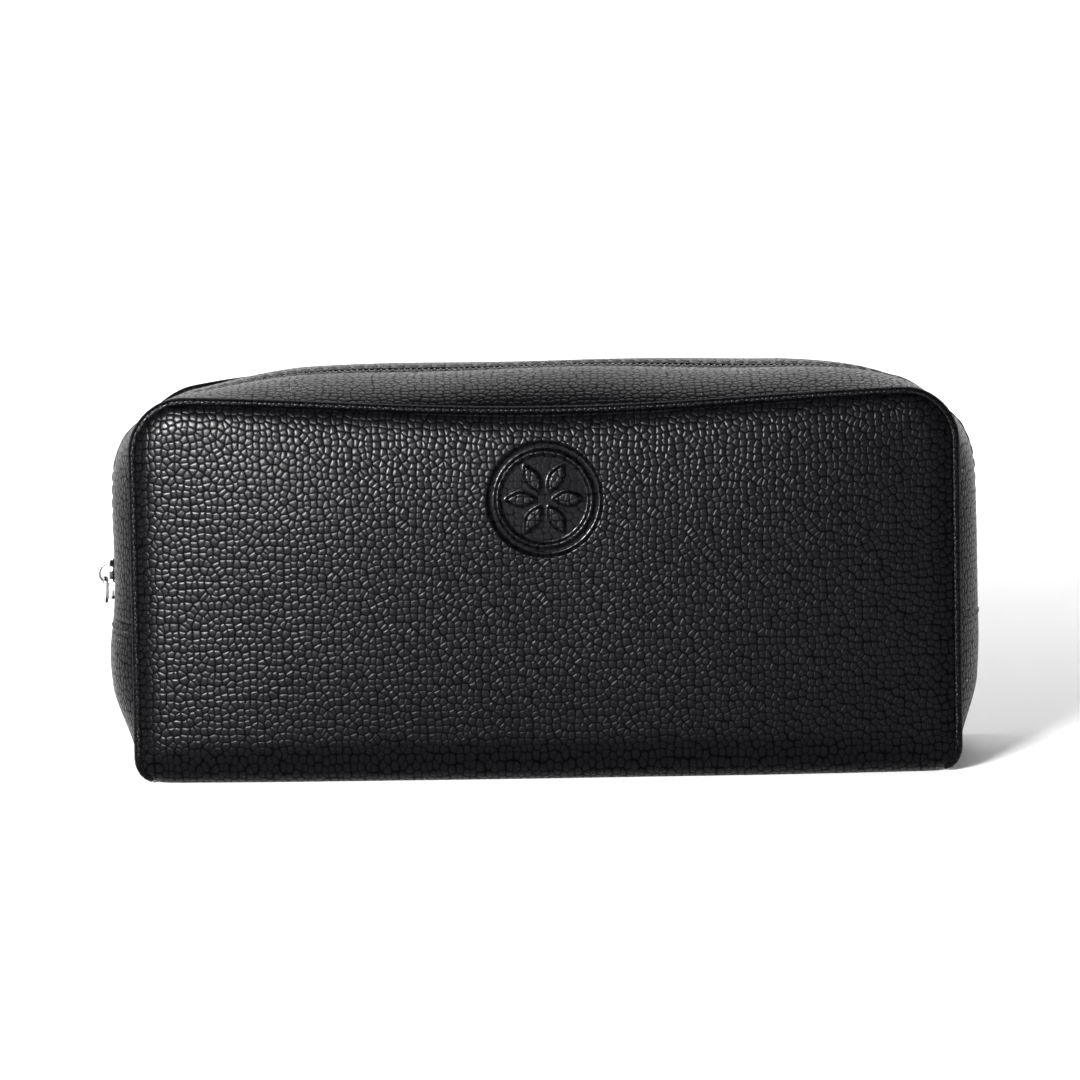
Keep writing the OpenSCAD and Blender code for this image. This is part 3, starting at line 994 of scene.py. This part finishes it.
def bevelled_plate(outline, x_low, x_high, bevel):
    """A plate square to X with an outline of (y, z) points and rounded edges."""
    work = bmesh.new()
    corners = [work.verts.new((x_low, y, z)) for y, z in outline]
    face = work.faces.new(corners)
    grown = bmesh.ops.extrude_face_region(work, geom=[face])
    moved = [v for v in grown["geom"] if isinstance(v, bmesh.types.BMVert)]
    bmesh.ops.translate(work, verts=moved, vec=(x_high - x_low, 0, 0))
    bmesh.ops.recalc_face_normals(work, faces=work.faces)
    bmesh.ops.bevel(
        work, geom=list(work.edges), offset=bevel, segments=3, profile=0.5, affect="EDGES",
        clamp_overlap=True,
    )
    mesh = bpy.data.meshes.new("plate")
    work.to_mesh(mesh)
    work.free()
    mesh.materials.append(SILVER)
    piece = bpy.data.objects.new("plate", mesh)
    bpy.context.scene.collection.objects.link(piece)
    return piece


def block_outline(y_near, y_far, z_low, z_high):
    """The four corners of an upright oblong."""
    return [(y_near, z_low), (y_far, z_low), (y_far, z_high), (y_near, z_high)]


def slider_outline(mouth, low, high):
    """Outline of a slider plate: its wide mouth below, two shoulders and a round nose above."""
    half = mouth / 2
    nose = NOSE_SHARE * half
    points = []
    for turn in np.linspace(0, math.pi, 9):
        points.append((nose * math.cos(turn), high - nose + nose * math.sin(turn)))
    for side, shoulders in ((-1, SHOULDERS), (1, SHOULDERS[::-1])):
        for out, up in shoulders:
            points.append((side * out * half, low + up * (high - low)))
    return points


def make_slider_body():
    """Two plates, the divider between them and the outer plate's lips."""
    low, high = SLIDER_LOW[2], SLIDER_HIGH[2]
    x_out, x_in = SLIDER_LOW[0], SLIDER_HIGH[0]
    mouth = SLIDER_HIGH[1] - SLIDER_LOW[1]
    outer = bevelled_plate(
        slider_outline(mouth, low, high), x_out, x_out + OUTER_PLATE, 0.28 * MM
    )
    inner = bevelled_plate(
        slider_outline(mouth - 1 * MM, low, high), x_in - INNER_PLATE, x_in, 0.25 * MM
    )
    half = 0.3 * MM
    divider = bevelled_plate(
        block_outline(-half, half, low + 0.1 * MM, low + 3 * MM),
        x_out + OUTER_PLATE - 0.3 * MM, x_in - INNER_PLATE + 0.2 * MM, 0.08 * MM,
    )
    lip_near, lip_far = mouth / 2 - 0.75 * MM, mouth / 2 - 0.05 * MM
    parts = [outer, inner, divider]
    for side in (-1, 1):
        parts.append(bevelled_plate(
            block_outline(side * lip_near, side * lip_far, low + 0.8 * MM, low + 4.4 * MM),
            x_out + OUTER_PLATE - 0.4 * MM, x_out + OUTER_PLATE + 0.35 * MM, 0.15 * MM,
        ))
    slider_piece("zip_slider", "slider", "slider_body", parts)


def make_bridge():
    """The arched loop on the slider's face, with its feet in the outer plate."""
    middle = (BRIDGE_LOW[2] + BRIDGE_HIGH[2]) / 2
    arch = (BRIDGE_HIGH[2] - BRIDGE_LOW[2]) / 2 - BRIDGE_WALL / 2
    foot_x = BRIDGE_HIGH[0] + 0.5 * MM
    path = [(foot_x, 0, middle - arch)]
    for turn in np.linspace(0, math.pi, 25):
        path.append((BRIDGE_HIGH[0] - arch * math.sin(turn), 0, middle - arch * math.cos(turn)))
    path.append((foot_x, 0, middle + arch))
    half_width = (BRIDGE_HIGH[1] - BRIDGE_LOW[1]) / 2
    bridge = tube("bridge", path, 1.0, SILVER, sides=20, squash=(BRIDGE_WALL / 2, half_width))
    slider_piece("zip_slider_bridge", "slider", "slider_bridge", [bridge])


def make_ring():
    """The pull: a round wire bent to an oblong with rounded corners."""
    wire = (RING_HIGH[0] - RING_LOW[0]) / 2
    ring_x = (RING_HIGH[0] + RING_LOW[0]) / 2
    ring_z = (RING_HIGH[2] + RING_LOW[2]) / 2
    corner = 1.2 * MM
    straight_y = (RING_HIGH[1] - RING_LOW[1]) / 2 - wire - corner
    straight_z = (RING_HIGH[2] - RING_LOW[2]) / 2 - wire - corner
    path = []
    for quarter, (sign_y, sign_z) in enumerate(((1, 1), (-1, 1), (-1, -1), (1, -1))):
        for turn in np.linspace(0, math.pi / 2, 8):
            angle = quarter * math.pi / 2 + turn
            y = sign_y * straight_y + corner * math.cos(angle)
            z = sign_z * straight_z + corner * math.sin(angle)
            path.append((ring_x, y, ring_z + z))
    ring = tube("ring", path, wire, SILVER, sides=16, closed=True, aside=(1, 0, 0))
    slider_piece("zip_pull_ring", "pull", "pull_ring", [ring])


# ---------- Inside ----------


def make_board():
    """The base board, with rounded corners."""
    low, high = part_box("base_board")
    work = bmesh.new()
    bmesh.ops.create_cube(work, size=1.0)
    for vertex in work.verts:
        for axis in range(3):
            vertex.co[axis] = low[axis] if vertex.co[axis] < 0 else high[axis]
    upright = [e for e in work.edges if abs(e.verts[0].co.z - e.verts[1].co.z) > 0.5 * MM]
    bmesh.ops.bevel(work, geom=upright, offset=6 * MM, segments=8, profile=0.5, affect="EDGES")
    mesh = bpy.data.meshes.new("board_sheet")
    work.to_mesh(mesh)
    work.free()
    mesh.materials.append(BOARD)
    board = bpy.data.objects.new("board_sheet", mesh)
    bpy.context.scene.collection.objects.link(board)
    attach(board, "bag")
    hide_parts("base_board")


def pocket_grid(low, high, depth):
    """The pocket's cloth: it bellies forward between its sewn sides and dips at its mouth."""
    belly_height = 1.6 * MM
    tuck_height = 2.2 * MM
    dip_height = 1.4 * MM
    rows = []
    for t in np.linspace(0, 1, 22):
        row = []
        for u in np.linspace(-1, 1, 50):
            belly = belly_height * math.sin(math.pi * min(t + 0.12, 1)) * (1 - abs(u) ** 4)
            tuck = tuck_height * abs(u) ** 14
            dip = dip_height * t ** 4 * (1 - u * u)
            y = low[1] - belly + tuck + depth
            z = low[2] + t * (high[2] - low[2]) - dip
            row.append((u * high[0], y, z))
        rows.append(row)
    return np.array(rows)


def make_pocket():
    """The slip pocket on the back wall, and the binding along its mouth."""
    low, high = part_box("slip_pocket")
    face = pocket_grid(low, high, 0)
    uv = face[:, :, [0, 2]]
    pocket = slab("pocket_cloth", face, pocket_grid(low, high, CLOTH), uv, LINING)
    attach(pocket, "bag")
    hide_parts("slip_pocket")
    mouth = face[-1] + (0, CLOTH / 2, 0)
    binding_section = (1.5 * MM, 0.75 * MM)
    binding = tube("pocket_edge_binding", mouth, 1.0, TAPE, sides=10, squash=binding_section)
    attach(binding, "bag")
    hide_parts("pocket_binding")


# ---------- Stage, light and camera ----------


def make_stage():
    """White paper: a round floor that curves up into a wall all around, far from the bag."""
    floor_radius, curve, height, turns = 3.0, 0.6, 2.6, 96
    profile = [(floor_radius, 0.0)]
    for turn in np.linspace(0, math.pi / 2, 16)[1:]:
        profile.append((floor_radius + curve * math.sin(turn), curve - curve * math.cos(turn)))
    profile.append((floor_radius + curve, height))
    points = []
    for radius, z in profile:
        for turn in range(turns):
            angle = 2 * math.pi * turn / turns
            points.append((radius * math.cos(angle), radius * math.sin(angle), z))
    faces = ring_faces(len(profile), turns) + [list(range(turns))]
    paper = new_object("paper_floor", points, faces)
    n = Nodes("paper_white")
    n.set(Base_Color=(0.93, 0.93, 0.93, 1), Roughness=0.9, Specular_IOR_Level=0.1)
    paper.data.materials.append(n.material)


def make_room_light():
    """A faint even light from all around."""
    world = bpy.data.worlds.new("studio")
    bpy.context.scene.world = world
    world.use_nodes = True
    background = world.node_tree.nodes["Background"]
    background.inputs["Color"].default_value = (1, 1, 1, 1)
    background.inputs["Strength"].default_value = 0.03


def area_light(name, place, aim, size, power, tall=None):
    """A light panel, size wide and as tall unless tall is given, that faces a point."""
    data = bpy.data.lights.new(name, "AREA")
    data.shape = "RECTANGLE"
    data.size = size
    data.size_y = tall or size
    data.energy = power
    light = bpy.data.objects.new(name, data)
    light.location = place
    light.rotation_euler = (Vector(aim) - Vector(place)).to_track_quat("-Z", "Y").to_euler()
    bpy.context.scene.collection.objects.link(light)


def make_lights():
    """A low key in front, soft sides from above, and a lit wall behind; overhead stays dark."""
    bag = (0, 0, 0.06)
    area_light("key", (-0.44, -1.27, 0.34), bag, 0.3, 52)
    area_light("left_side", (-1.3, 0.5, 1.0), (-0.1, 0, 0), 0.8, 5)
    area_light("right_side", (1.3, 0.5, 1.0), (0.1, 0, 0), 0.8, 3)
    area_light("behind", (0, 1.1, 1.2), (0, 0, 0), 0.9, 5)
    area_light("wall", (0, 1.3, 1.9), (0, 3.2, 0.3), 2.4, 45, tall=0.6)


def make_camera():
    """The camera stands in front, a little above the bag, and leans slightly."""
    distance = 2.2
    elevation = math.radians(7)
    aim = Vector((-0.0013, 0, 0.0559))
    data = bpy.data.cameras.new("camera")
    camera = bpy.data.objects.new("camera", data)
    bpy.context.scene.collection.objects.link(camera)
    place = aim + Vector((0, -math.cos(elevation), math.sin(elevation))) * distance
    camera.location = place
    facing = (aim - place).to_track_quat("-Z", "Y").to_matrix().to_4x4()
    lean = math.radians(-0.9)
    camera.rotation_euler = (facing @ facing.Rotation(lean, 4, "Z")).to_euler()
    sensor = 36
    seen_width = 0.2725
    data.sensor_width = sensor
    data.lens = sensor * distance / seen_width
    data.dof.use_dof = False
    data.clip_start = 0.01
    bpy.context.scene.camera = camera


make_camera()
make_stage()
make_room_light()
make_lights()
make_walls()
make_gusset()
make_welts()
make_zip()
make_slider_body()
make_bridge()
make_ring()
make_board()
make_pocket()
bpy.context.scene.view_settings.view_transform = "Standard"
bpy.context.scene.view_settings.look = "High Contrast"
